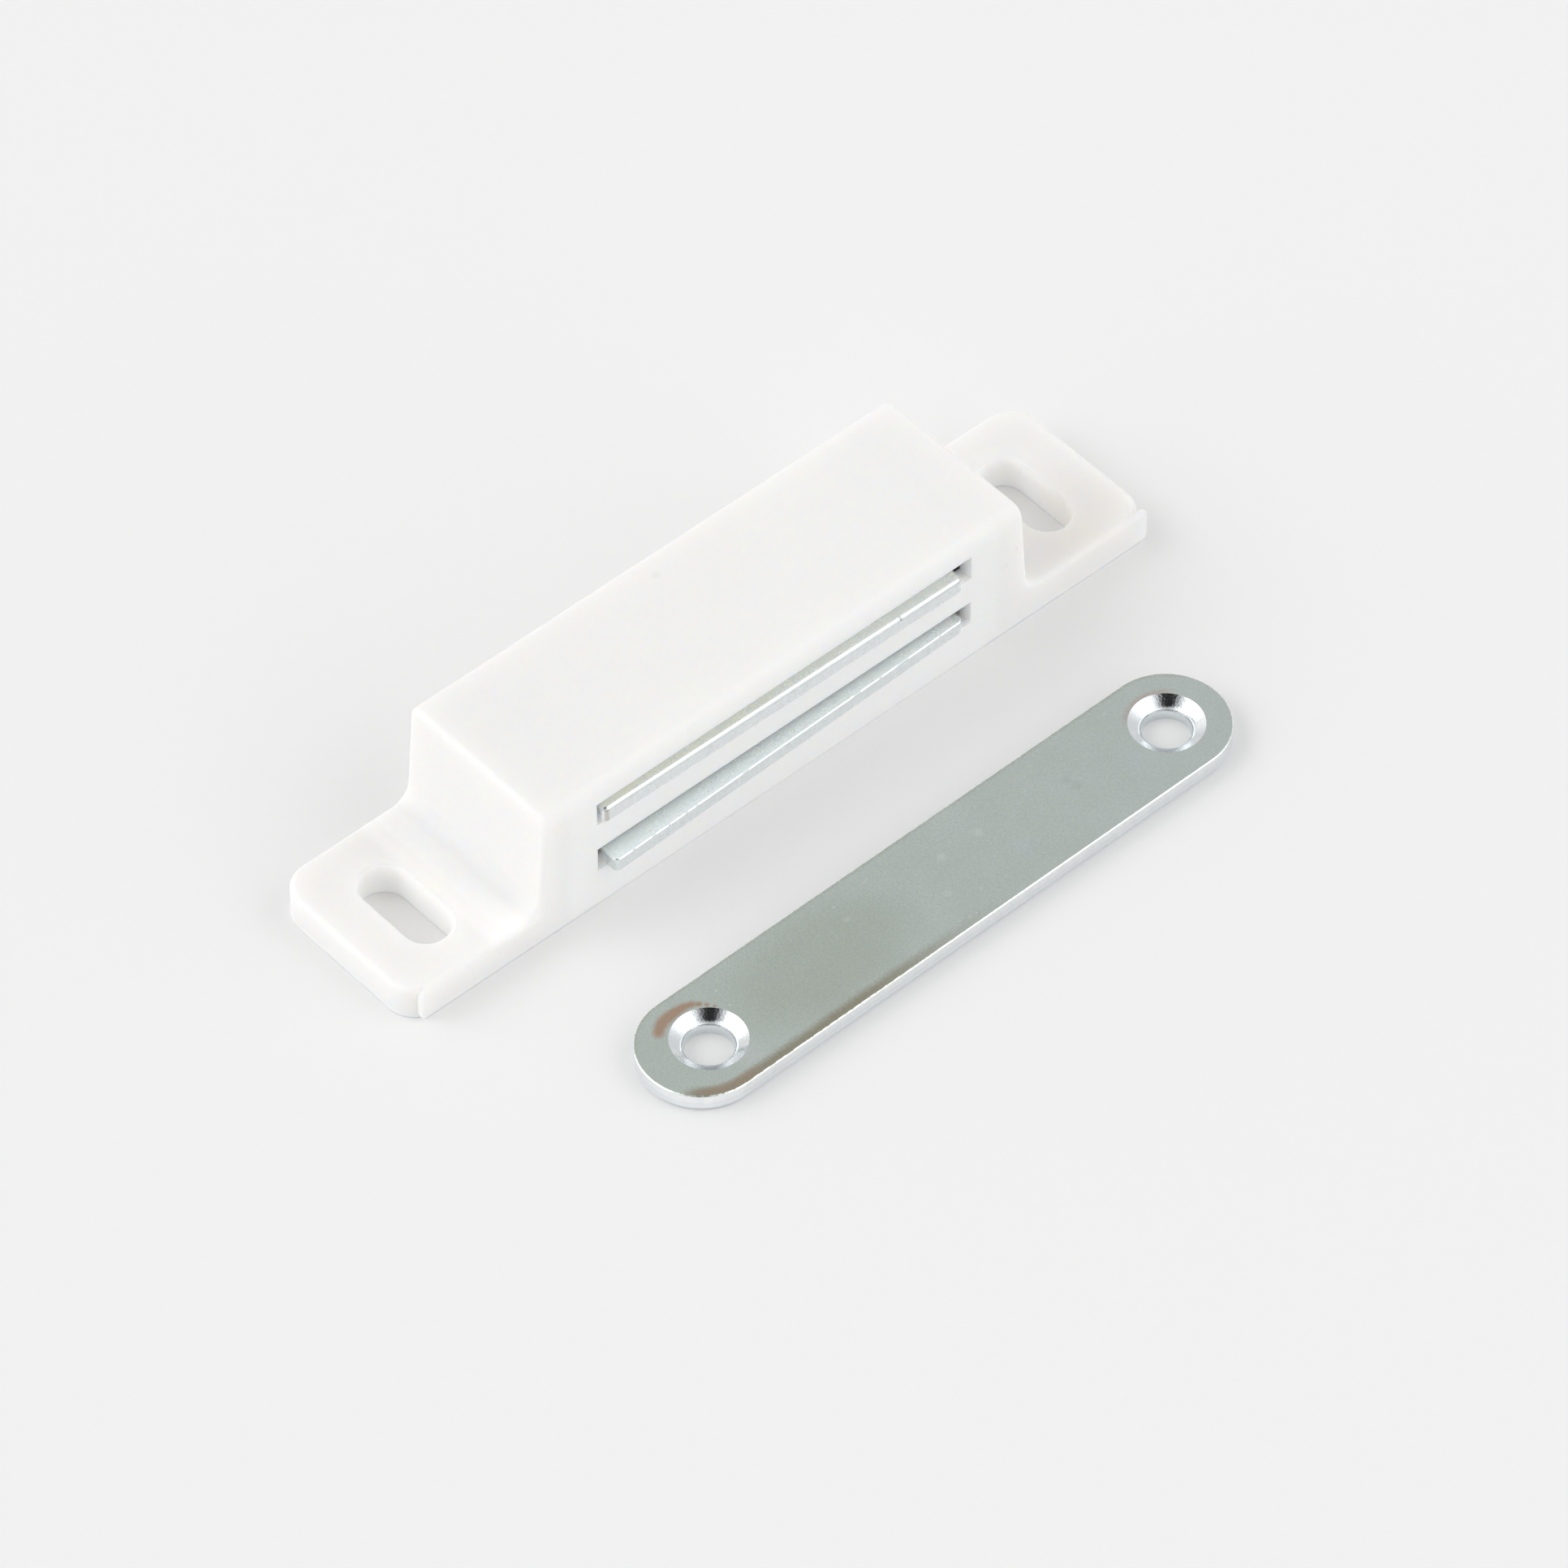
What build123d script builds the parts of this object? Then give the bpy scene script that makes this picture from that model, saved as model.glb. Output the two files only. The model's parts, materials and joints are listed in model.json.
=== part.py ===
"""Magnetic cupboard catch, surface mounted: a moulded housing with two floating pole plates and a
ferrite magnet between them, and the separate countersunk strike plate that they hold.

X runs along the catch, the pole plates look towards -Y and the mounting face is z = 0. The origin is
midway between the two screw slots, on the mounting face. All sizes are in millimetres.
"""

import os
from math import cos, radians, sin, tan

from build123d import *

os.makedirs("parts", exist_ok=True)

# ---------------------------------------------------------------- pole pack
plate_thickness = 1.5
tongue_length = 36.8  # the part of a pole plate that stands in its slit
shoulder_width = 3.9  # how far a plate runs past its tongue at each side
stand_out = 1.6  # how far a plate stands out of the front face when its shoulders stop it
pack_travel = 1.8  # how far a plate can slide from that stop to the back wall
tongue_corner_radius = 0.5
plate_corner_radius = 0.5
roll_radius = 0.32  # rolled edge that the punch leaves on the side it enters
burr_chamfer = 0.07  # burr broken off on the side it leaves by
magnet_height = 3.7
magnet_side_inset = 1.3  # magnet inside the plates' ends
magnet_edge_inset = 0.45  # magnet inside the plates' long edges
magnet_chamfer = 0.3

# ---------------------------------------------------------------- pocket and slits
front_wall = 1.4
back_wall = 1.6
end_wall = 1.8  # pocket to the end of the block, both at their top
top_wall = 1.75
shoulder_play = 0.5  # pocket past the shoulders at each end, at the ceiling
slit_end_play = 0.95  # slit past the tongue at each end
slit_play = 0.9  # slit height over the plate's thickness
lower_plate_level = 3.95  # underside of the lower pole plate above the mounting face
pocket_draft = 1.0  # degrees, the pocket widens towards its mouth
pocket_corner_radius = 0.5
lug_hold = 0.75  # how far a retaining lug reaches under a centred plate
lug_width = 5.0
lug_land = 0.6  # upright face of a lug under its flat top
lug_root = 0.4  # how deep a lug is rooted in the wall

# ---------------------------------------------------------------- housing, outside
front_reach = 7.75  # line of the screw slots to the front face
back_reach = 8.35  # line of the screw slots to the back face
foot_length = 13.9  # end of the block, at its top, to the end of the foot
foot_thickness = 3.3
foot_front_corner_radius = 2.6  # corners of the feet in plan
foot_back_corner_radius = 2.7
block_end_draft = 4.5  # degrees, the ends of the block spread towards the feet
block_front_radius = 1.2  # long upper edges of the block
block_back_radius = 1.0
root_radius = 1.7  # hollow between a foot and the block
edge_radius = 0.5  # every other upper edge
outside_shift = 0.2  # the outside lies this far to the right of the pocket and the slots

# The front face is made by a side action of the mould. Its cavity runs past the rounded corners of
# the feet and leaves a thin step at each, a little off centre.
step_depth = 0.45
step_left_inset = 1.05  # end of the foot to the end of the step
step_right_inset = 0.32
step_left_top_radius = 1.0
step_right_top_radius = 0.3
step_foot_radius = 0.7  # lower corners of both

# ---------------------------------------------------------------- screw slots
slot_inset = 6.2  # end of the foot to the middle of the slot, on average
slot_width = 4.1
slot_length = 9.2  # end to end, along Y
slot_rim_radius = 0.25

# ---------------------------------------------------------------- how the plates lie
# Both plates slide and turn a little on the magnet. Reach is how far the middle of the front edge
# stands out of the front face, shift is along X from the middle of the slits, turn is about Z.
upper_plate_reach = 0.38
upper_plate_shift = -0.4
upper_plate_turn = -0.55
lower_plate_reach = 0.84
lower_plate_shift = -0.15
lower_plate_turn = 1.32

# ---------------------------------------------------------------- strike plate
strike_length = 59.2
strike_width = 10.4
strike_thickness = 1.7
strike_roll_radius = 0.4  # lower edge, the side the punch enters
strike_burr_chamfer = 0.08  # upper edge
strike_hole_inset = 5.6  # end of the strike to the middle of a hole, on average
strike_hole_shift = 0.37  # both holes lie this far to the right of their even place
strike_hole_radius = 1.95
countersink_radius = 3.1
countersink_angle = 120.0
countersink_throat_radius = 0.7  # the cone runs into the hole in a curve
strike_offset = 0.78  # where it lies in front of the housing
strike_distance = 16.7  # front face to the middle of the strike
strike_turn = 0.42

# ---------------------------------------------------------------- worked out from the sizes above
plate_length = tongue_length + 2 * shoulder_width
pocket_length = plate_length + 2 * shoulder_play
slit_length = tongue_length + 2 * slit_end_play
block_length = pocket_length + 2 * end_wall
housing_length = block_length + 2 * foot_length
slot_pitch = housing_length - 2 * slot_inset

upper_plate_level = lower_plate_level + plate_thickness + magnet_height
slit_height = plate_thickness + slit_play
pocket_ceiling = upper_plate_level + slit_height
block_height = pocket_ceiling + top_wall

housing_depth = front_reach + back_reach
pocket_front_y = front_wall - front_reach
pocket_back_y = back_reach - back_wall
pocket_depth = pocket_back_y - pocket_front_y
pocket_middle_y = (pocket_front_y + pocket_back_y) / 2
tongue_reach = front_wall + stand_out
plate_depth = pocket_depth - pack_travel
magnet_length = plate_length - 2 * magnet_side_inset
magnet_depth = plate_depth - 2 * magnet_edge_inset

foot_end = housing_length / 2
block_top_end = block_length / 2
block_root_end = block_top_end + (block_height - foot_thickness) * tan(radians(block_end_draft))
step_left = -foot_end + step_left_inset
step_right = foot_end - step_right_inset
lug_wall = pocket_length / 2 + (pocket_ceiling - lower_plate_level) * tan(radians(pocket_draft))
lug_tip = plate_length / 2 - lug_hold
strike_hole_pitch = strike_length - 2 * strike_hole_inset
left_hole_u = strike_hole_shift - strike_hole_pitch / 2
right_hole_u = strike_hole_shift + strike_hole_pitch / 2
strike_y = -front_reach - strike_distance


def turned_plane(x, y, z, turn):
    """A plane parallel to the mounting face at a point, with its X direction turned by degrees."""
    x_dir = (cos(radians(turn)), sin(radians(turn)), 0)
    return Plane(origin=(x, y, z), x_dir=x_dir, z_dir=(0, 0, 1))


# ---------------------------------------------------------------- housing
front_plane = Plane.XZ.offset(front_reach)
outside_plane = Plane(origin=(outside_shift, -front_reach, 0), x_dir=(1, 0, 0), z_dir=(0, -1, 0))

with BuildPart() as front_steps:
    # The two ends of the side action's step: a front view with rounded corners, run back by the
    # step's depth, then given the same upper front edge as the feet.
    with BuildSketch(outside_plane) as front_bar:
        with Locations((step_left, 0)):
            Rectangle(step_right - step_left, foot_thickness, align=(Align.MIN, Align.MIN))
        fillet(front_bar.vertices().group_by(Axis.Y)[0], step_foot_radius)
        fillet(front_bar.vertices().group_by(Axis.Y)[-1].sort_by(Axis.X)[0], step_left_top_radius)
        fillet(front_bar.vertices().group_by(Axis.Y)[-1].sort_by(Axis.X)[-1], step_right_top_radius)
    extrude(amount=-step_depth)
    with BuildSketch(Plane.YZ.offset(outside_shift - foot_end)):
        with Locations((-front_reach, 0)):
            bar = Rectangle(2 * step_depth, foot_thickness, align=(Align.MIN, Align.MIN))
        fillet(bar.vertices().group_by(Axis.Y)[-1].sort_by(Axis.X)[0], edge_radius)
    extrude(amount=housing_length, mode=Mode.INTERSECT)

with BuildPart() as housing:
    # Front view of feet and block, run through the whole depth, then trimmed to the plan.
    with BuildSketch(outside_plane) as front_view:
        with BuildLine():
            Polyline(
                (-foot_end, 0),
                (foot_end, 0),
                (foot_end, foot_thickness),
                (block_root_end, foot_thickness),
                (block_top_end, block_height),
                (-block_top_end, block_height),
                (-block_root_end, foot_thickness),
                (-foot_end, foot_thickness),
                close=True,
            )
        make_face()
        roots = front_view.vertices().filter_by(
            lambda v: abs(abs(v.X) - block_root_end) < 0.01 and v.Y > foot_thickness / 2
        )
        fillet(roots, root_radius)
    extrude(amount=-housing_depth)
    upright = housing.edges().filter_by(Axis.Z).group_by(Axis.Y)
    fillet(upright[0], foot_front_corner_radius)
    fillet(housing.edges().filter_by(Axis.Z).group_by(Axis.Y)[-1], foot_back_corner_radius)

    # Long upper edges of the block, then every other upper edge in one run.
    long_edges = housing.faces().sort_by(Axis.Z)[-1].edges().filter_by(Axis.X).sort_by(Axis.Y)
    fillet(long_edges[0], block_front_radius)
    long_edges = housing.faces().sort_by(Axis.Z)[-1].edges().filter_by(Axis.X).sort_by(Axis.Y)
    fillet(long_edges[-1], block_back_radius)
    first = housing.faces().sort_by(Axis.X)[0].edges().filter_by(Axis.Y).sort_by(Axis.Z)[-1]
    last = housing.faces().sort_by(Axis.X)[-1].edges().filter_by(Axis.Y).sort_by(Axis.Z)[-1]
    fillet([first, last], edge_radius)
    add(front_steps.part)

    # Screw slots, straight through the feet, with softened rims.
    with BuildSketch() as slots:
        with Locations((-slot_pitch / 2, 0), (slot_pitch / 2, 0)):
            SlotOverall(slot_length, slot_width, rotation=90)
    extrude(amount=foot_thickness, mode=Mode.SUBTRACT)
    rims = housing.edges().filter_by(
        lambda e: abs(e.center().Z - foot_thickness) < 0.001
        and abs(abs(e.center().X) - slot_pitch / 2) < slot_width / 2 + 0.01
        and abs(e.center().Y) < slot_length / 2
    )
    fillet(rims, slot_rim_radius)

    # Pocket for the pole pack, cored from the mounting face up to the ceiling.
    with BuildSketch(Plane.XY.offset(pocket_ceiling)):
        with Locations((0, pocket_middle_y)):
            RectangleRounded(pocket_length, pocket_depth, pocket_corner_radius)
    extrude(amount=-pocket_ceiling, taper=-pocket_draft, mode=Mode.SUBTRACT)

    # Two slits through the front wall.
    with BuildSketch(front_plane):
        for level in (lower_plate_level, upper_plate_level):
            with Locations((0, level + slit_height / 2)):
                Rectangle(slit_length, slit_height)
    extrude(amount=-(front_wall + 2 * pocket_corner_radius), mode=Mode.SUBTRACT)

    # Retaining lugs on the end walls: a flat top that carries the lower plate, a short upright land
    # and a ramp below, over which the pack snaps in from the mounting side.
    with BuildSketch(Plane.XZ.offset(-pocket_middle_y)):
        for side in (-1, 1):
            root = side * (lug_wall + lug_root)
            tip = side * lug_tip
            drop = lug_wall + lug_root - lug_tip
            with BuildLine():
                Polyline(
                    (root, lower_plate_level),
                    (tip, lower_plate_level),
                    (tip, lower_plate_level - lug_land),
                    (root, lower_plate_level - lug_land - drop),
                    close=True,
                )
            make_face()
    extrude(amount=lug_width / 2, both=True)
housing.part.label = "housing"
export_step(housing.part, "parts/housing.step")

# ---------------------------------------------------------------- pole plates
# Punched T: the tongue stands in the slit, the shoulders stop behind the front wall. The two plates
# are the same piece, the upper one with its rolled edge up and the lower one with it down.
upper_y = -front_reach - upper_plate_reach
upper_at = turned_plane(upper_plate_shift, upper_y, upper_plate_level, upper_plate_turn)
lower_y = -front_reach - lower_plate_reach
lower_at = turned_plane(lower_plate_shift, lower_y, lower_plate_level, lower_plate_turn)

with BuildPart() as upper_pole_plate:
    with BuildSketch(upper_at) as outline:
        Rectangle(tongue_length, 2 * tongue_reach, align=(Align.CENTER, Align.MIN))
        fillet(outline.vertices().group_by(Axis.Y)[0], tongue_corner_radius)
        with Locations((0, tongue_reach)):
            RectangleRounded(
                plate_length, plate_depth, plate_corner_radius, align=(Align.CENTER, Align.MIN)
            )
    extrude(amount=plate_thickness)
    fillet(upper_pole_plate.faces().sort_by(Axis.Z)[-1].edges(), roll_radius)
    chamfer(upper_pole_plate.faces().sort_by(Axis.Z)[0].edges(), burr_chamfer)
upper_pole_plate.part.label = "upper_pole_plate"
export_step(upper_pole_plate.part, "parts/upper_pole_plate.step")

with BuildPart() as lower_pole_plate:
    with BuildSketch(lower_at) as outline:
        Rectangle(tongue_length, 2 * tongue_reach, align=(Align.CENTER, Align.MIN))
        fillet(outline.vertices().group_by(Axis.Y)[0], tongue_corner_radius)
        with Locations((0, tongue_reach)):
            RectangleRounded(
                plate_length, plate_depth, plate_corner_radius, align=(Align.CENTER, Align.MIN)
            )
    extrude(amount=plate_thickness)
    chamfer(lower_pole_plate.faces().sort_by(Axis.Z)[-1].edges(), burr_chamfer)
    fillet(lower_pole_plate.faces().sort_by(Axis.Z)[0].edges(), roll_radius)
lower_pole_plate.part.label = "lower_pole_plate"
export_step(lower_pole_plate.part, "parts/lower_pole_plate.step")

# ---------------------------------------------------------------- magnet
with BuildPart() as magnet:
    with BuildSketch(Plane.XY.offset(lower_plate_level + plate_thickness)):
        with Locations((0, pocket_middle_y)):
            Rectangle(magnet_length, magnet_depth)
    extrude(amount=magnet_height)
    chamfer(magnet.edges().filter_by(Axis.Z), magnet_chamfer)
magnet.part.label = "magnet"
export_step(magnet.part, "parts/magnet.step")

# ---------------------------------------------------------------- strike plate
with BuildPart() as strike_plate:
    with BuildSketch(turned_plane(strike_offset, strike_y, 0, strike_turn)):
        SlotOverall(strike_length, strike_width)
    extrude(amount=strike_thickness)
    chamfer(strike_plate.faces().sort_by(Axis.Z)[-1].edges(), strike_burr_chamfer)
    fillet(strike_plate.faces().sort_by(Axis.Z)[0].edges(), strike_roll_radius)
    with Locations(turned_plane(strike_offset, strike_y, strike_thickness, strike_turn)):
        with Locations((left_hole_u, 0), (right_hole_u, 0)):
            CounterSinkHole(
                strike_hole_radius,
                countersink_radius,
                depth=strike_thickness,
                counter_sink_angle=countersink_angle,
            )
    circles = strike_plate.edges().filter_by(GeomType.CIRCLE)
    throats = circles.filter_by(
        lambda e: abs(e.radius - strike_hole_radius) < 0.001 and e.center().Z > 0.001
    )
    fillet(throats, countersink_throat_radius)
strike_plate.part.label = "strike_plate"
export_step(strike_plate.part, "parts/strike_plate.step")
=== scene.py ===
"""Looks for the magnetic cupboard catch: moulded housing, two pole plates, ferrite, strike plate.

Lengths that name a place on the object are millimetres in the CAD frame. They are turned into
metres only where Blender needs them. No piece gets new geometry, only a material.
"""
import json
import math

import bpy
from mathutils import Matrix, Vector


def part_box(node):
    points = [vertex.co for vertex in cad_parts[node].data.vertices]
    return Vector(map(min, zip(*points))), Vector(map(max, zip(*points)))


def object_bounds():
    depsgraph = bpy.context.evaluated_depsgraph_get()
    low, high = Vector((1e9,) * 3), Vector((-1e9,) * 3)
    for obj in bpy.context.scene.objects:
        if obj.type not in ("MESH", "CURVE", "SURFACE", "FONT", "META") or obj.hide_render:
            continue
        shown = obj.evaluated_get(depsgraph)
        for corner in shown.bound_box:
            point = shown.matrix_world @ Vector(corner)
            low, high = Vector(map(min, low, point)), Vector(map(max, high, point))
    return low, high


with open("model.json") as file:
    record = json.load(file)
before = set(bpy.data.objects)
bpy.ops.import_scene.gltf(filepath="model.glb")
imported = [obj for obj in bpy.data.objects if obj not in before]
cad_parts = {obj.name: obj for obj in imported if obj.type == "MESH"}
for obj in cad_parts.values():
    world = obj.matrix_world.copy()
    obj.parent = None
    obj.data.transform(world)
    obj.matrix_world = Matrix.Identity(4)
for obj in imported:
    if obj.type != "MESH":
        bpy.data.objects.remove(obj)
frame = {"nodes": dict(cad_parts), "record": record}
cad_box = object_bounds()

MM = 0.001


# ---------------------------------------------------------------- node tree writing
class Sock:
    """An output of a node tree, with arithmetic that adds Math nodes."""

    def __init__(self, tree, socket):
        self.tree, self.socket = tree, socket

    def __add__(self, other):
        return self.tree.math("ADD", self, other)

    __radd__ = __add__

    def __sub__(self, other):
        return self.tree.math("SUBTRACT", self, other)

    def __rsub__(self, other):
        return self.tree.math("SUBTRACT", other, self)

    def __mul__(self, other):
        return self.tree.math("MULTIPLY", self, other)

    def max(self, other):
        return self.tree.math("MAXIMUM", self, other)

    def min(self, other):
        return self.tree.math("MINIMUM", self, other)

    def abs(self):
        return self.tree.math("ABSOLUTE", self)

    def sqrt(self):
        return self.tree.math("SQRT", self)

    def rise(self, low, high):
        """0 below low, 1 above high, smooth between; with low the larger, 1 below high."""
        flip = low > high
        out = self.tree.node("ShaderNodeMapRange", interpolation_type="SMOOTHSTEP")
        self.tree.put(out.inputs["Value"], self)
        out.inputs["From Min"].default_value = high if flip else low
        out.inputs["From Max"].default_value = low if flip else high
        out.inputs["To Min"].default_value = 1.0 if flip else 0.0
        out.inputs["To Max"].default_value = 0.0 if flip else 1.0
        return Sock(self.tree, out.outputs["Result"])

    def band(self, low, high, soft):
        """1 between low and high, falling to 0 over soft on each side."""
        return self.rise(low - soft, low) * self.rise(high + soft, high)


class Tree:
    """A node tree that is written from empty."""

    def __init__(self, tree):
        self.tree = tree
        tree.nodes.clear()

    def node(self, kind, **settings):
        made = self.tree.nodes.new(kind)
        for key, value in settings.items():
            setattr(made, key, value)
        return made

    def put(self, socket, value):
        """Link an output to a socket, or set the socket to a plain value."""
        if isinstance(value, Sock):
            self.tree.links.new(value.socket, socket)
        else:
            socket.default_value = value

    def math(self, kind, *values):
        made = self.node("ShaderNodeMath", operation=kind)
        for socket, value in zip(made.inputs, values):
            self.put(socket, value)
        return Sock(self, made.outputs[0])

    def vector(self, kind, *values, output="Vector"):
        made = self.node("ShaderNodeVectorMath", operation=kind)
        for socket, value in zip(made.inputs, values):
            self.put(socket, value)
        return Sock(self, made.outputs[output])

    def split(self, vector):
        made = self.node("ShaderNodeSeparateXYZ")
        self.put(made.inputs[0], vector)
        return [Sock(self, made.outputs[i]) for i in range(3)]

    def noise(self, at, size, detail=2.0, rough=0.5, stretch=(1, 1, 1), seed=0.0):
        """Noise about 0.5 whose features measure size mm, longer along the axes of stretch."""
        place = self.vector("MULTIPLY", at, tuple(1 / (size * s) for s in stretch))
        place = self.vector("ADD", place, (seed, seed * 1.7, seed * 2.3))
        made = self.node("ShaderNodeTexNoise")
        self.put(made.inputs["Vector"], place)
        made.inputs["Scale"].default_value = 1.0
        made.inputs["Detail"].default_value = detail
        made.inputs["Roughness"].default_value = rough
        return Sock(self, made.outputs["Fac"])

    def blend(self, low, high, share):
        """Colour low where share is 0, high where it is 1."""
        made = self.node("ShaderNodeMix", data_type="RGBA", clamp_factor=True)
        self.put(made.inputs["Factor"], share)
        for socket, value in zip(made.inputs[6:8], (low, high)):
            self.put(socket, value if isinstance(value, Sock) else (*value, 1.0))
        return Sock(self, made.outputs[2])

    def shade(self, colour, factor):
        """A colour with each channel multiplied by a number."""
        made = self.node("ShaderNodeVectorMath", operation="SCALE")
        self.put(made.inputs[0], colour)
        self.put(made.inputs["Scale"], factor)
        return Sock(self, made.outputs[0])


class Material(Tree):
    """A Principled material; at is the place on the object at rest in mm, facing its normal."""

    def __init__(self, name, **shader):
        self.material = bpy.data.materials.new(name)
        self.material.use_nodes = True
        super().__init__(self.material.node_tree)
        output = self.node("ShaderNodeOutputMaterial")
        self.principled = self.node("ShaderNodeBsdfPrincipled")
        self.tree.links.new(self.principled.outputs[0], output.inputs[0])
        for key, value in shader.items():
            self.principled.inputs[key.replace("_", " ")].default_value = value
        source = self.node("ShaderNodeTexCoord")
        self.at = self.vector("MULTIPLY", Sock(self, source.outputs["Object"]), (1 / MM,) * 3)
        self.x, self.y, self.z = self.split(self.at)
        self.facing = self.split(Sock(self, source.outputs["Normal"]))

    def set(self, name, value):
        self.put(self.principled.inputs[name], value)

    def bump(self, height):
        """height in mm."""
        made = self.node("ShaderNodeBump")
        made.inputs["Strength"].default_value = 1.0
        made.inputs["Distance"].default_value = MM
        self.put(made.inputs["Height"], height)
        self.put(self.principled.inputs["Normal"], Sock(self, made.outputs[0]))

    def spot(self, place, radius, core=0.35):
        """1 within core of its radius about a place on the object, 0 past the radius (mm)."""
        away = self.vector("DISTANCE", self.at, place, output="Value")
        return away.rise(radius, radius * core)

    def spots(self, level, core, places):
        """The sum of spots on a flat top at that level, given as (x, y, radius, strength)."""
        return total([
            self.spot((x, y, level), radius, core) * strength
            for x, y, radius, strength in places
        ])

    def streak(self, x, y, length, width, degrees):
        """1 in the middle of a soft long spot on a face seen from above, turned from the X axis."""
        c, s = math.cos(math.radians(degrees)), math.sin(math.radians(degrees))
        along = ((self.x - x) * c + (self.y - y) * s) * (2 / length)
        across = ((self.y - y) * c - (self.x - x) * s) * (2 / width)
        return (along * along + across * across).sqrt().rise(1.0, 0.4)

    def give(self, node):
        """Put the material on a piece in place of what it has."""
        piece = frame["nodes"][node]
        piece.data.materials.clear()
        piece.data.materials.append(self.material)


def total(parts):
    """The sum of several outputs."""
    out = parts[0]
    for part in parts[1:]:
        out = out + part
    return out


def box_mm(node):
    low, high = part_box(node)
    return low / MM, high / MM


# ---------------------------------------------------------------- housing
def dress_housing():
    """White moulding that scatters light; masks in mm tell where that light arrives or is lost, and
    where light and shade are painted into its tone and glow.
    """
    low, high = box_mm("housing")
    front_y, top_z = low.y, high.z
    pocket_end = box_mm("upper_pole_plate")[1].x + 1.2
    slot_x, slot_half_width, slot_half_length = 32.3, 2.03, 4.6
    foot_top = 3.3

    made = Material(
        "moulded_white",
        Subsurface_Weight=1.0,
        Subsurface_Radius=(1.0, 0.85, 0.65),
        Emission_Color=(1.0, 0.98, 0.94, 1.0),
        Specular_IOR_Level=0.3,
    )
    from_middle = made.x.abs()
    broad = made.noise(made.at, 14.0, detail=2, seed=3.1)
    cloud = made.noise(made.at, 2.2, detail=3, seed=7.7)

    # Walls of the slits and the pocket, which light reaches only through the plastic; they get
    # painted light, a lighter tone and a glow.
    inside = (
        from_middle.rise(pocket_end + 0.4, pocket_end)
        * made.y.band(front_y + 0.12, -low.y - 0.9, 0.1)
        * made.z.rise(top_z - 1.6, top_z - 1.9)
    )
    outside = 1.0 - inside
    # Walls of the screw slots, lightened with painted light, a lighter tone and a glow.
    slot_walls_painted_light = (
        from_middle.band(slot_x - slot_half_width, slot_x + slot_half_width, 0.06)
        * made.y.abs().rise(slot_half_length + 0.04, slot_half_length - 0.04)
        * made.z.rise(foot_top - 0.04, foot_top - 0.3)
    )
    # The hollow between the left foot and the block, and the flat beside it: painted light, a
    # lighter tone in the hollow against its shade and a glow on the flat as a painted highlight
    # along the root.
    hollow_painted_light = made.x.band(-28.0, -25.7, 0.9) * made.z.band(3.0, 4.6, 0.8)
    root_painted_highlight = made.x.band(-29.2, -27.2, 1.3) * made.z.band(3.2, 4.2, 0.6)
    # Painted light at the foot of the walls, a lighter tone against the shade where the floor meets
    # them.
    wall_foot_painted_light = made.z.rise(0.6, 0.0) * outside
    # The front wall about the slits, which gets painted light: a lighter tone and a faint glow.
    around = from_middle.rise(23.0, 20.5) * made.y.rise(front_y + 1.2, front_y + 0.2)
    # Painted shade on the right foot, darker and warmer where the block shades it.
    painted_block_shade = made.spot((33.0, -4.0, foot_top), 7.5, core=0.1)

    tone = made.blend((0.902, 0.893, 0.884), (0.914, 0.906, 0.898), broad.rise(0.3, 0.7))
    # Painted light and shade in the tone: lighter in the slits, pocket, slots, hollow, wall foot
    # and front wall, darker and warmer on the right foot.
    for colour, share in (
        ((0.985, 0.98, 0.97), inside),
        ((0.99, 0.98, 0.96), slot_walls_painted_light),
        ((0.975, 0.962, 0.945), hollow_painted_light * 0.9),
        ((0.98, 0.98, 0.98), wall_foot_painted_light),
        ((0.98, 0.972, 0.965), around * outside * 0.9),
        ((0.83, 0.805, 0.775), painted_block_shade * 0.7),
    ):
        tone = made.blend(tone, colour, share)

    # Marks: a smudge on top, specks on the front, a rubbed place on the front upper edge.
    smudge = made.spot((-1.37, 5.98, top_z), 0.55) * 0.045
    specks = total([
        made.spot((x, front_y, z), radius) * strength
        for x, z, radius, strength in (
            (24.16, 9.07, 0.22, 0.06), (23.04, 7.92, 0.2, 0.06), (22.28, 4.37, 0.2, 0.05),
        )
    ])
    tone = made.shade(tone, 1.0 + (cloud - 0.5) * 0.012 - smudge - specks)
    rubbed = made.spot((-9.3, front_y + 0.2, top_z - 0.45), 1.1, core=0.1)
    tone = made.blend(tone, (0.84, 0.79, 0.76), rubbed * cloud.rise(0.35, 0.65) * 0.5)
    made.set("Base Color", tone)

    # Light goes deep in the body, less deep where the floor or the dark pack would swallow it.
    depth = 0.25 + made.z.rise(0.2, 2.2) * (1.0 - around * 0.8) * 1.3
    made.set("Subsurface Scale", (depth * outside + inside * 4.0) * MM)
    # Painted glow, from no lamp: it stands in for the light the moulding carries into its slits and
    # slots, for the bright line along the root, and faintly for the front wall about the slits.
    painted_glow = inside * (0.05 + from_middle.rise(19.1, 17.5) * 0.2)
    painted_glow = painted_glow + slot_walls_painted_light * 0.065 + root_painted_highlight * 0.06 + around * outside * 0.02
    made.set("Emission Strength", painted_glow)

    grain = made.noise(made.at, 0.16, detail=2, seed=1.3)
    skin = made.noise(made.at, 2.6, detail=1, seed=5.9)
    made.set("Roughness", 0.45 + (grain - 0.5) * 0.10 + (skin - 0.5) * 0.06)
    made.bump((grain - 0.5) * 0.0012 + (skin - 0.5) * 0.006)
    made.give("housing")


# ---------------------------------------------------------------- zinc plating
def plating(name):
    """Zinc plate on steel, with the cloud and the fine grain that its tint and polish follow."""
    made = Material(name, Metallic=1.0)
    made.cloud = made.noise(made.at, 3.2, detail=3, seed=2.2)
    made.fine = made.noise(made.at, 0.2, detail=2, rough=0.6, seed=8.4)
    return made


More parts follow.
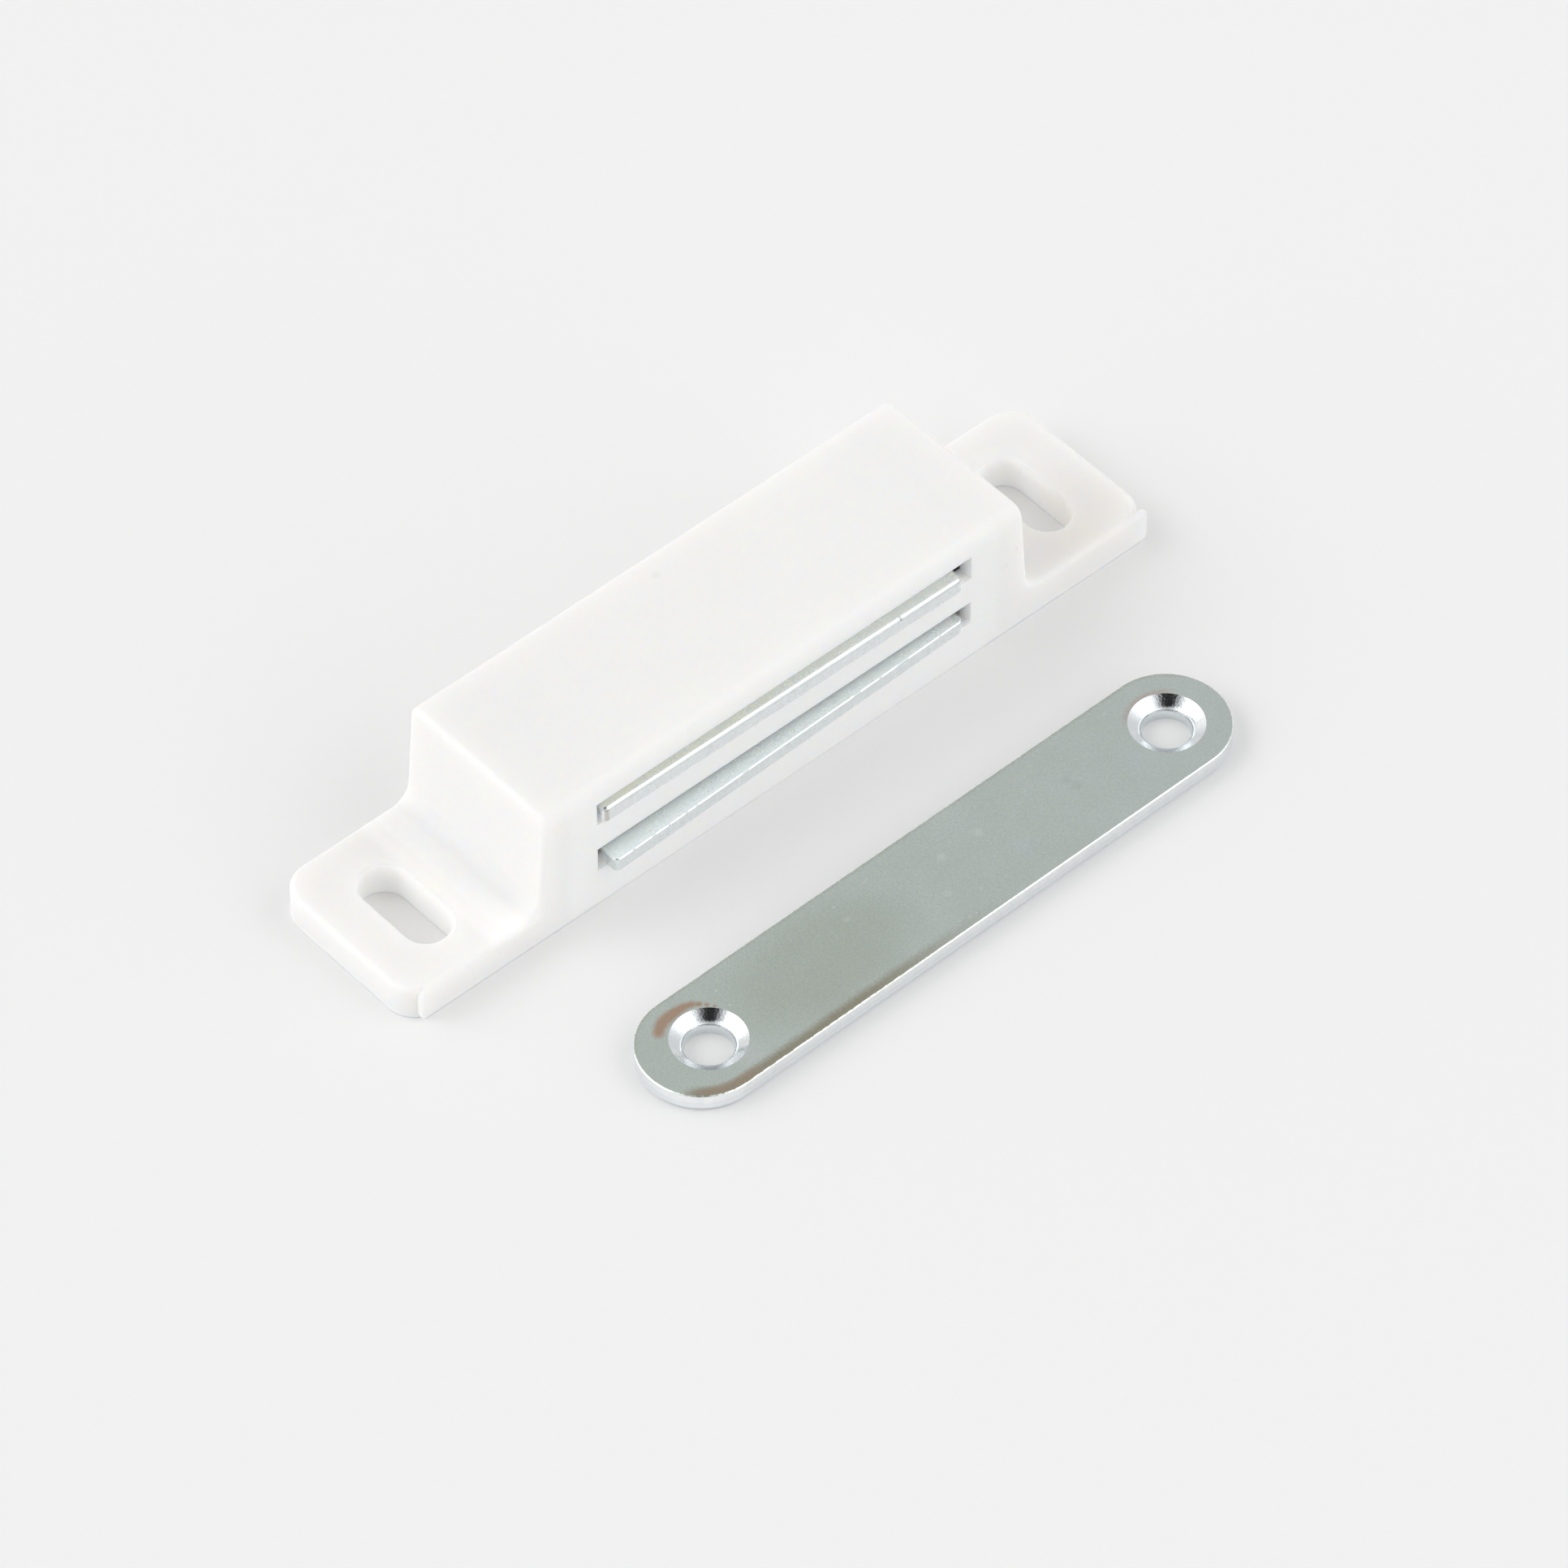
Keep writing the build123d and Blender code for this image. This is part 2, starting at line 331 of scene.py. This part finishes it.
def finish_plating(made, tint, polish, height):
    """polish is taken off the roughness; height in mm is added to the grain."""
    made.set("Base Color", made.shade(tint, 1.0 + (made.fine - 0.5) * 0.16))
    rough = 0.26 + (made.fine - 0.5) * 0.12 + (made.cloud - 0.5) * 0.06
    made.set("Roughness", (rough - polish).max(0.07))
    made.bump((made.fine - 0.5) * 0.0009 + height)


# ---------------------------------------------------------------- strike plate
STAINS = (
    (-25.4, -21.7, 0.75, 0.7), (-24.9, -21.3, 0.8, 0.7), (-24.3, -21.05, 0.85, 0.8),
    (-23.6, -20.95, 0.8, 0.9), (-22.9, -20.95, 0.75, 0.9), (-22.2, -21.0, 0.65, 0.8),
    (-21.6, -21.2, 0.55, 0.8), (-21.15, -21.55, 0.42, 0.8), (-20.75, -22.0, 0.34, 0.7),
    (-20.4, -22.5, 0.26, 0.6),
)
BLUE_PATCHES = (
    (-6.8, -25.7, 1.6, 1.0), (-2.8, -23.7, 1.2, 1.0), (20.2, -25.2, 1.8, 1.0),
    (8.2, -26.6, 1.4, 1.0),
)
PALE_PATCHES = (
    (6.48, -22.84, 0.6, 0.10), (2.64, -22.89, 0.6, 0.09), (-7.10, -22.72, 0.5, 0.08),
    (0.50, -25.90, 0.5, 0.08), (15.5, -24.4, 0.7, -0.07), (15.2, -23.5, 0.6, -0.06),
)
SCUFFS = (
    (-19.33, -21.39, 0.13, 1.0), (2.77, -27.18, 0.13, 1.0), (0.18, -28.78, 0.14, 1.0),
    (0.83, -28.85, 0.12, 1.0), (22.10, -20.31, 0.14, 1.0), (-1.47, -26.86, 0.11, 1.0),
    (-19.45, -23.12, 0.12, 1.0), (-7.01, -21.11, 0.12, 1.0),
)


def dress_strike():
    """Passivated zinc on top, a sheared side wall, polished countersinks."""
    low, high = box_mm("strike_plate")
    top_z = high.z
    mounts = {m["name"]: Vector(m["pos_m"]) / MM for m in frame["record"]["mounts"]}
    left_hole, right_hole = mounts["strike_hole_left"], mounts["strike_hole_right"]
    lie = (right_hole - left_hole).normalized()
    half_pitch = (right_hole - left_hole).length / 2
    end_radius, countersink_radius = 5.2, 3.1
    half_straight = (high.x - low.x) / 2 - end_radius
    centre = (low + high) / 2
    hole_shift = ((left_hole + right_hole) / 2 - centre).dot(lie)

    made = plating("zinc_strike")
    # u runs along the plate, v across it towards the housing, both from its centre.
    flat = made.vector("MULTIPLY", made.at, (1, 1, 0))
    flat = made.vector("SUBTRACT", flat, (centre.x, centre.y, 0))
    u = made.vector("DOT_PRODUCT", flat, (lie.x, lie.y, 0), output="Value")
    v = made.vector("DOT_PRODUCT", flat, (-lie.y, lie.x, 0), output="Value")
    past = (u.abs() - half_straight).max(0.0)
    inset = end_radius - (past * past + v * v).sqrt()  # from the outline inwards
    beside = (u - hole_shift).abs() - half_pitch
    ring = (beside * beside + v * v).sqrt()  # from the nearer hole's axis outwards
    on_top = made.z.rise(top_z - 0.05, top_z - 0.02)
    on_side = made.z.rise(top_z - 0.1, top_z - 0.14) * inset.rise(0.6, 0.4)
    cone = ring.rise(countersink_radius + 0.03, countersink_radius - 0.01)
    cone = cone * made.z.rise(low.z + 0.02, low.z + 0.06)

    # The plating's tint, bluish in places, with a painted reflection along it: darker and warmer at
    # the left, lighter and cooler at the right.
    share = u * 0.016 + 0.5 + (made.cloud - 0.5) * 0.7
    tint = made.blend((0.74, 0.825, 0.765), (0.785, 0.862, 0.835), share)
    blue = made.spots(top_z, 0.1, BLUE_PATCHES)
    tint = made.blend(tint, (0.77, 0.855, 0.875), blue * made.cloud.rise(0.2, 0.7) * 0.6)
    # Towards the left it is duller and more olive, and paler again beside the left hole.
    olive = made.streak(-11.5, -24.6, 22.0, 13.0, 0.4)
    tint = made.blend(tint, (0.655, 0.725, 0.645), olive * 0.75)
    clean = made.spot((-21.6, -27.9, top_z), 2.4, core=0.1)
    tint = made.blend(tint, (0.82, 0.885, 0.86), clean * 0.8)

    # Passivation stains: an olive band inside the near edge, brown arcs beyond the holes.
    ragged = (made.fine - 0.5) * 0.9 + (made.cloud - 0.5) * 0.5
    near_side = v.rise(-2.2, -3.6) * on_top
    band = (inset + ragged * 0.4).band(0.06, 0.4, 0.85) * near_side * (u + ragged).rise(4.0, -14.0)
    tint = made.blend(tint, (0.45, 0.42, 0.31), band * 0.9)
    arc = (inset + ragged * 0.5).band(0.45, 0.7, 0.5) * v.rise(-2.6, -3.8)
    arc = arc * u.band(-27.6, -23.6, 1.6) * on_top
    tint = made.blend(tint, (0.55, 0.43, 0.33), arc * made.fine.rise(0.25, 0.6) * 0.85)
    far_side = (inset + ragged * 0.4).band(0.0, 0.1, 0.35) * v.rise(2.0, 3.6) * on_top
    tint = made.blend(tint, (0.60, 0.66, 0.55), far_side * 0.5)
    stain = made.spots(top_z, 0.1, STAINS)
    stain = (stain * (0.9 + made.fine * 0.8)).min(1.0) * on_top
    tint = made.blend(tint, (0.63, 0.42, 0.30), stain * 0.9)
    rust = (ring + ragged * 0.25).rise(3.7, 3.2) * v.rise(1.6, 2.8) * u.rise(0.0, 10.0)
    tint = made.blend(tint, (0.74, 0.60, 0.54), rust * on_top * 0.6)

    # Paler and darker patches, bright specks where the plating is scuffed, one short scratch.
    pale = made.spots(top_z, 0.2, PALE_PATCHES)
    tint = made.shade(tint, 1.0 + pale * on_top)
    scratch = made.streak(-3.37, -20.72, 0.95, 0.16, 20)
    scuffs = (made.spots(top_z, 0.5, SCUFFS) + scratch) * on_top
    tint = made.blend(tint, (0.97, 0.97, 0.97), scuffs)

    # The sheared side wall: burnished above, a finer grey fracture below a wandering line.
    sheared = made.noise(made.at, 0.5, detail=3, stretch=(1, 1, 6), seed=6.1)
    line = made.z + (sheared - 0.5) * 0.25
    wall = made.blend((0.90, 0.935, 0.96), (0.93, 0.95, 0.955), line.rise(0.6, 0.7))
    crease = line.band(0.78, 0.82, 0.09)
    wall = made.shade(wall, 1.0 + (sheared - 0.5) * 0.10 - crease * 0.08)
    tint = made.blend(tint, wall, on_side)
    tint = made.blend(tint, (0.81, 0.845, 0.865), cone)
    # Painted glints: white dabs here and there on the burr along the upper edge.
    painted_glints = made.noise(made.at, 0.3, detail=2, seed=9.9)
    rim = inset.rise(0.14, 0.07) * made.z.rise(top_z - 0.13, top_z - 0.06)
    tint = made.blend(tint, (0.98, 0.98, 0.98), rim * painted_glints.rise(0.42, 0.55))

    dent = made.noise(made.at, 1.6, detail=2, seed=12.3)
    turned = made.noise(made.at, 0.16, detail=2, stretch=(1, 1, 10), seed=15.1)
    polish = cone * 0.13 + scuffs * 0.1 + on_side * 0.04
    relief = (dent - 0.5) * 0.004 - scuffs * 0.004 + (turned - 0.5) * cone * 0.012
    finish_plating(made, tint, polish, relief)
    made.give("strike_plate")


# ---------------------------------------------------------------- pole plates
def dress_pole(name, node, near, far, front, end, lip, shine, breaks):
    """One pole plate, the same material on both with its own tints.

    near and far tint the left and the right of the top, front the punched edge and end its left
    end. A lip that high gets painted shade: its tint is darkened by 1 - shine to narrow its
    highlight, and more at breaks, given as (middle, half width) in x, that break the highlight.
    """
    housing_front = box_mm("housing")[0].y
    low, high = box_mm(node)
    tongue_start = low.x + 4.35
    made = plating(name)
    top = made.blend(near, far, made.x * 0.022 + 0.35 + (made.cloud - 0.5) * 1.2)
    drawn = made.noise(made.at, 0.35, detail=3, stretch=(1, 1, 8), seed=3.3)
    face = made.shade(front, 1.0 + (drawn - 0.5) * 0.16)
    tint = made.blend(face, top, made.z.rise(high.z - 0.07, high.z - 0.01))
    at_end = (tongue_start - made.x).rise(-0.1, 0.1)
    at_end = at_end * made.y.rise(housing_front, housing_front - 0.1)
    tint = made.blend(tint, end, at_end * made.z.rise(high.z - 0.1, high.z - 0.3))
    to_front = made.facing[1]
    edge = made.z.rise(high.z - lip - 0.02, high.z - lip) * to_front.rise(-0.1, -0.35)
    # Painted shade at the breaks in the lip's highlight, and all along the lip where shine is below
    # 1.
    painted_breaks = total([made.x.band(x - half, x + half, half * 0.7) for x, half in breaks]) * edge
    tint = made.shade(tint, (1.0 - painted_breaks.min(1.0) * 0.4) * (1.0 - edge * (1.0 - shine)))
    finish_plating(made, tint, edge * 0.08, (drawn - 0.5) * 0.001 * to_front.abs())
    made.give(node)


# ---------------------------------------------------------------- magnet
def dress_magnet():
    made = Material("ferrite")
    mottle = made.noise(made.at, 0.6)
    made.set("Base Color", made.shade((0.045, 0.044, 0.046), 0.7 + mottle))
    made.set("Roughness", 0.5 + made.noise(made.at, 0.3) * 0.2)
    made.bump(made.noise(made.at, 0.25, detail=3) * 0.01)
    made.give("magnet")


dress_housing()
dress_strike()
dress_pole(
    "zinc_upper_plate", "upper_pole_plate",
    near=(0.89, 0.92, 0.875), far=(0.89, 0.95, 0.97), front=(0.92, 0.95, 0.965),
    end=(0.66, 0.64, 0.60), lip=0.34, shine=0.8, breaks=((11.5, 0.08),),
)
dress_pole(
    "zinc_lower_plate", "lower_pole_plate",
    near=(0.90, 0.965, 0.965), far=(0.91, 0.965, 0.965), front=(0.87, 0.91, 0.92),
    end=(0.74, 0.79, 0.78), lip=0.08, shine=1.0,
    breaks=(
        (-16.7, 0.12), (-14.6, 0.15), (-13.0, 0.1), (-11.2, 0.14), (-10.1, 0.1), (-5.0, 0.25),
        (6.8, 0.3), (9.3, 0.12), (11.7, 0.45), (15.7, 0.1),
    ),
)
dress_magnet()

# ---------------------------------------------------------------- floor
FLOOR_HALF = 3.0  # m
floor_z = cad_box[0].z
corners = [
    (x * FLOOR_HALF, y * FLOOR_HALF, floor_z) for x, y in ((-1, -1), (1, -1), (1, 1), (-1, 1))
]
mesh = bpy.data.meshes.new("floor")
mesh.from_pydata(corners, [], [(0, 1, 2, 3)])
floor = bpy.data.objects.new("floor", mesh)
bpy.context.scene.collection.objects.link(floor)
card = Material("pale_floor", Specular_IOR_Level=0.2, Roughness=0.85)
card.set("Base Color", (0.905, 0.905, 0.903, 1.0))
mesh.materials.append(card.material)

# ---------------------------------------------------------------- light
# The studio is a dim room with soft lobes of light, each (towards, how narrow, how strong). The
# negative ones are its darker parts, which the metal reflects.
ROOM = 0.4
LOBES = (
    ((-0.78, 0.15, 0.6), 4.0, 0.94),  # large soft light at the left, its spill and its middle
    ((-0.6, 0.65, 0.45), 4.0, 0.74),
    ((-0.6, 0.49, 0.63), 26.0, 1.4),
    ((0.0, 0.88, 0.47), 4.0, 0.22),  # back wall
    ((0.87, 0.49, 0.1), 5.0, 0.3),  # low fill from the right
    ((0.9, -0.3, 0.1), 3.0, 0.1),
    ((0.42, -0.82, 0.42), 3.0, 0.36),  # broad fill from the front
    ((-0.62, -0.6, 0.5), 5.0, -0.36),  # dark room about the camera
    ((0.47, -0.62, 0.63), 6.0, 0.21),  # small soft light in front, and its middle
    ((0.44, -0.4, 0.8), 16.0, 1.1),
    ((0.44, -0.88, 0.2), 6.0, 0.43),  # low fill from the front
    ((-0.2, -0.95, 0.25), 4.0, 0.42),
    ((-0.3, -0.22, 0.93), 12.0, -1.1),  # the camera's stand, dark in the countersinks
    ((-0.46, -0.49, 0.74), 14.0, -0.22),
    ((0.437, 0.492, 0.753), 7.0, -0.21),  # grey wall that the strike's top reflects
)
world = bpy.data.worlds.new("studio")
bpy.context.scene.world = world
world.use_nodes = True
sky = Tree(world.node_tree)
toward = Sock(sky, sky.node("ShaderNodeTexCoord").outputs["Generated"])
light = ROOM
for direction, focus, amount in LOBES:
    lobe = tuple(Vector(direction).normalized() * focus)
    along = sky.vector("DOT_PRODUCT", toward, lobe, output="Value")
    # amount * exp(focus * (cosine - 1))
    shine = sky.math("EXPONENT", along + (math.log(abs(amount)) - focus))
    light = light + shine if amount > 0 else light - shine
background = sky.node("ShaderNodeBackground")
sky.put(background.inputs["Strength"], light.max(0.02))
background.inputs["Color"].default_value = (1.0, 1.0, 1.0, 1.0)
end = sky.node("ShaderNodeOutputWorld")
sky.tree.links.new(background.outputs[0], end.inputs[0])

# ---------------------------------------------------------------- camera
# Fitted to edges and hole centres of the photo.
TARGET = Vector((-3.415, -11.324, 5.0)) * MM
DISTANCE = 753.4 * MM
AZIMUTH, ELEVATION, ROLL = (math.radians(v) for v in (-41.651, 48.834, 0.084))
SENSOR, FRAME_PIXELS, FOCAL_PIXELS = 36.0, 1932, 12000.0
camera = bpy.data.objects.new("camera", bpy.data.cameras.new("camera"))
bpy.context.scene.collection.objects.link(camera)
bpy.context.scene.camera = camera
camera.data.sensor_width = SENSOR
camera.data.lens = SENSOR * FOCAL_PIXELS / FRAME_PIXELS
camera.data.clip_start, camera.data.clip_end = 0.05, 20.0
back = Vector((
    math.sin(AZIMUTH) * math.cos(ELEVATION),
    -math.cos(AZIMUTH) * math.cos(ELEVATION),
    math.sin(ELEVATION),
))
camera.location = TARGET + back * DISTANCE
right = Vector((math.cos(AZIMUTH), math.sin(AZIMUTH), 0.0))
up = back.cross(right)
turn = camera.matrix_world.to_3x3()
turn.col[0] = right * math.cos(ROLL) + up * math.sin(ROLL)
turn.col[1] = up * math.cos(ROLL) - right * math.sin(ROLL)
turn.col[2] = back
camera.rotation_mode = "QUATERNION"
camera.rotation_quaternion = turn.to_quaternion()
bpy.context.scene.view_settings.view_transform = "Standard"
